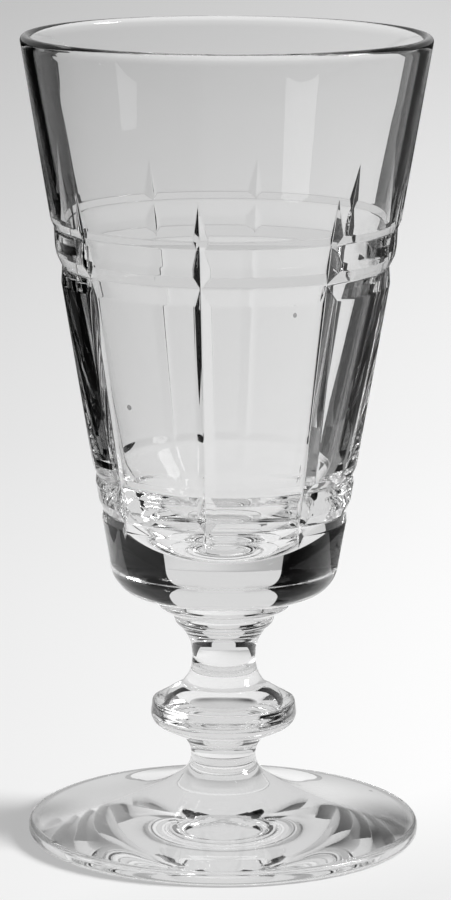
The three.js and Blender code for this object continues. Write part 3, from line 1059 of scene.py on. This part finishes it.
def make_world(look):
    """A pale studio, darker overhead, that reflections show dimmed."""
    world = bpy.data.worlds.new("studio")
    bpy.context.scene.world = world
    shader = Shader(world)
    aim = shader.value("ShaderNodeTexCoord", "Generated")
    rise = shader.value("ShaderNodeSeparateXYZ", "Z", None, {"Vector": aim})
    overhead = rising(shader, rise, *SKY_CLIMB) * (1 - shader.ray("Is Transmission Ray"))
    sky = shader.mixed(overhead, with_alpha(look.sky_low), with_alpha(look.sky_high))
    dim = shader.mixed(1, sky, grey(look.reflected_sky), "MULTIPLY")
    colour = shader.mixed(reflections_only(shader), sky, dim)
    light = shader.value("ShaderNodeBackground", "Background", None, {"Color": colour, "Strength": 1})
    shader.output(light, "ShaderNodeOutputWorld")


def make_cards():
    """Cards that only the crystal shows, for dark and bright things that stood round the glass, and for
    painted shadow, painted light and a painted highlight near the foot.
    """
    for name, how, level, height, corners in CARDS:
        material = bpy.data.materials.new(f"{name}_card")
        shader = Shader(material)
        light = shader.value("ShaderNodeEmission", "Emission", None, {"Color": grey(level)})
        clear = shader.value("ShaderNodeBsdfTransparent", "BSDF")
        faces = shader.ray("Transmission Depth")
        inside = faces > ANY_DEPTH
        mirrored = shader.ray("Glossy Depth") > ANY_DEPTH
        if how == SOLID:
            shown = inside * (faces < SOLID_FACES)
        elif how == MIRRORED:
            shown = mirrored
        elif how == OUTSIDE:
            shown = mirrored * (1 - inside)
        else:
            shown = shader.maths("MAXIMUM", mirrored, faces > SOLID_FACES)
        shader.output(shader.either(shown, clear, light))
        material.cycles.emission_sampling = "NONE"
        mesh = bmesh.new()
        verts = [mesh.verts.new(Vector((*corner, height)[:3]) * MM) for corner in corners]
        bmesh.ops.contextual_create(mesh, geom=verts)
        card = stage_object(f"{name}_card", mesh, material)
        card.visible_camera = False
        card.visible_diffuse = False
        card.visible_shadow = False


def make_lamp(look):
    """A large soft lamp at the right, whose shadow falls to the left of the foot."""
    data = bpy.data.lights.new("soft_lamp", "AREA")
    data.energy = look.lamp_power
    data.size = look.lamp_size
    lamp = new_object("soft_lamp", data)
    place = lamp_place(look)
    lamp.matrix_world = Matrix.Translation(place) @ place.to_track_quat("Z", "Y").to_matrix().to_4x4()


def make_shadow(look, sizes):
    """A turned stand-in that gives the crystal its soft shadow, because clear glass bends light round it."""
    material = bpy.data.materials.new("glass_shadow")
    shader = Shader(material)
    clear = shader.value("ShaderNodeBsdfTransparent", "BSDF", None, {"Color": grey(look.shadow_clearness)})
    shader.output(clear)
    outline = (
        Outline(0, SHADOW_LIFT)
        .to(sizes.foot_radius, SHADOW_LIFT)
        .to(sizes.foot_radius, sizes.foot_edge)
        .to(sizes.foot_shoulder_radius, sizes.foot_shoulder_height)
        .to(sizes.foot_seat, FOOT_HIGH)
        .to(sizes.knop_low_seat, KNOP_LOW)
        .to(sizes.knop_radius, KNOP_LOW + sizes.knop_low_slope)
        .to(sizes.knop_radius, KNOP_LOW + sizes.knop_low_slope + sizes.knop_band)
        .to(sizes.knop_top_seat, KNOP_HIGH)
        .to(sizes.upper_waist, (UPPER_STEM_LOW + UPPER_STEM_HIGH) / 2)
        .to(sizes.collar_radius, COLLAR_LOW)
        .to(sizes.merese_radius, MERESE_HIGH)
        .to(sizes.base_radius, BOWL_LOW + sizes.base_rounding)
        .to(sizes.rim_radius, BOWL_HIGH)
    )
    caster = stage_object("glass_shadow", spun(outline.drawn(), SHADOW_STEPS), material)
    caster.visible_camera = False
    caster.visible_diffuse = False
    caster.visible_glossy = False
    caster.visible_transmission = False


def make_camera(look):
    """The camera, over the height of the rim and tilted down at the glass."""
    data = bpy.data.cameras.new("camera")
    data.lens = look.focal_length
    data.sensor_width = FILM_SIDE
    data.clip_start = CAMERA_NEAREST
    camera = new_object("camera", data)
    pitch = Matrix.Rotation(math.pi / 2 - look.camera_pitch, 4, "X")
    roll = Matrix.Rotation(look.camera_roll, 4, "Z")
    place = Matrix.Translation((look.camera_side, -look.camera_distance, look.camera_height))
    camera.matrix_world = place @ pitch @ roll
    bpy.context.scene.camera = camera


class JUICE_GLASS_OT_stage(bpy.types.Operator):
    """Set the floor, the light and the camera"""

    bl_idname = "juice_glass.stage"
    bl_label = "Stage"

    def execute(self, context):
        look = context.scene.stage_look
        make_floor(look, context.scene.glass_sizes)
        make_world(look)
        make_cards()
        make_lamp(look)
        make_shadow(look, context.scene.glass_sizes)
        make_camera(look)
        scene = context.scene
        scene.view_settings.view_transform = "Standard"
        scene.cycles.max_bounces = CLEAR_BOUNCES
        scene.cycles.transmission_bounces = CLEAR_BOUNCES
        scene.cycles.glossy_bounces = GLOSSY_BOUNCES
        scene.cycles.transparent_max_bounces = CLEAR_BOUNCES
        scene.cycles.use_denoising = True
        return {"FINISHED"}


class JUICE_GLASS_PT_sidebar(bpy.types.Panel):
    """Lists the steps that build the glass"""

    bl_label = "Juice Glass"
    bl_space_type = "VIEW_3D"
    bl_region_type = "UI"
    bl_category = "Juice Glass"

    def draw(self, context):
        for operator in OPERATORS:
            self.layout.operator(operator.bl_idname)


GROUPS = (GlassSizes, RingCut, CrystalLook, StageLook)
OPERATORS = (
    JUICE_GLASS_OT_finish,
    JUICE_GLASS_OT_foot,
    JUICE_GLASS_OT_stems,
    JUICE_GLASS_OT_knop,
    JUICE_GLASS_OT_collar,
    JUICE_GLASS_OT_bowl,
    JUICE_GLASS_OT_stage,
)
CLASSES = (*GROUPS, *OPERATORS, JUICE_GLASS_PT_sidebar)


def register():
    for kind in CLASSES:
        bpy.utils.register_class(kind)
    bpy.types.Scene.glass_sizes = bpy.props.PointerProperty(type=GlassSizes)
    bpy.types.Scene.ring_cuts = bpy.props.CollectionProperty(type=RingCut)
    bpy.types.Scene.crystal_look = bpy.props.PointerProperty(type=CrystalLook)
    bpy.types.Scene.stage_look = bpy.props.PointerProperty(type=StageLook)


def unregister():
    del bpy.types.Scene.stage_look
    del bpy.types.Scene.crystal_look
    del bpy.types.Scene.ring_cuts
    del bpy.types.Scene.glass_sizes
    for kind in reversed(CLASSES):
        bpy.utils.unregister_class(kind)


def set_ring_cuts(scene):
    """Fills the scene's list of ring cuts."""
    for height, depth, lower_flank, upper_flank in RING_CUTS:
        ring = scene.ring_cuts.add()
        ring.height = height * MM
        ring.depth = depth * MM
        ring.lower_flank = lower_flank * MM
        ring.upper_flank = upper_flank * MM


def main():
    register()
    set_ring_cuts(bpy.context.scene)
    bpy.ops.juice_glass.finish()
    bpy.ops.juice_glass.foot()
    bpy.ops.juice_glass.stems()
    bpy.ops.juice_glass.knop()
    bpy.ops.juice_glass.collar()
    bpy.ops.juice_glass.bowl()
    bpy.ops.juice_glass.stage()


if __name__ == "__main__":
    main()
